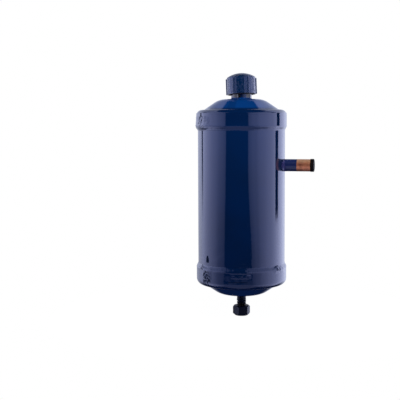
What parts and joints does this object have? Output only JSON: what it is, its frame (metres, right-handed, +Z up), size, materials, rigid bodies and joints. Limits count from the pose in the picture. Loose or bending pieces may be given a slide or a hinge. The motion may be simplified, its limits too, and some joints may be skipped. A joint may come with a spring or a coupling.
{
  "type": "liquid receiver",
  "caption": "Vertical welded liquid receiver with domed end caps, capped threaded neck, capped solder stub and bottom mounting stud.",
  "frame": {"origin": "root of the mounting stud, at the lowest point of the bottom cap, on the vessel's axis", "axes": "+Z up along the vessel's axis, +X along the inlet stub, away from the vessel"},
  "size_m": [0.1468, 0.112, 0.3024],
  "materials": {
    "blue_paint": "gloss",
    "bare_steel": "dull turned steel",
    "inner_steel": "plain drawn tube",
    "braze": "brazed",
    "copper": "drawn copper, dull",
    "end_cap_plastic": "matte",
    "stud_steel": "oxidised, partly painted",
    "nut_steel": "thin paint over black steel",
    "cap_plastic": "black plastic sprayed over with the vessel's paint",
    "liner_rubber": "matte"
  },
  "bodies": {
    "vessel": {"shell_tube": "blue_paint", "top_end_cap": "blue_paint", "bottom_end_cap": "blue_paint", "top_seam_weld": "blue_paint", "bottom_seam_weld": "blue_paint", "neck_weld": "blue_paint", "inlet_weld": "blue_paint", "stud_weld": "blue_paint", "threaded_neck": "bare_steel", "dip_tube": "inner_steel", "dip_tube_braze": "braze", "inlet_tube": "copper", "mounting_stud": "stud_steel"},
    "liner": {"cap_liner": "liner_rubber"},
    "cap": {"neck_cap": "cap_plastic"},
    "end_cap": {"inlet_cap": "end_cap_plastic"},
    "nut": {"stud_nut": "nut_steel"}
  },
  "joints": [
    {"name": "cap_lift", "type": "slide", "parent": "vessel", "child": "liner", "axis": [0, 0, 1], "range_m": [0, 0.0189]},
    {"name": "cap_turn", "type": "hinge", "parent": "liner", "child": "cap", "pos_m": [0, 0, 0.26], "axis": [0, 0, 1], "range_deg": [0, 3730]},
    {"name": "inlet_cap_pull", "type": "slide", "parent": "vessel", "child": "end_cap", "axis": [1, 0, 0], "range_m": [0, 0.06]},
    {"name": "nut_travel", "type": "slide", "parent": "vessel", "child": "nut", "axis": [0, 0, 1], "range_m": [-0.0124, 0.0122]}
  ],
  "couplings": [
    {"joint": "cap_lift", "follows": "cap_turn", "m_per_rad": 0.00028876}
  ]
}
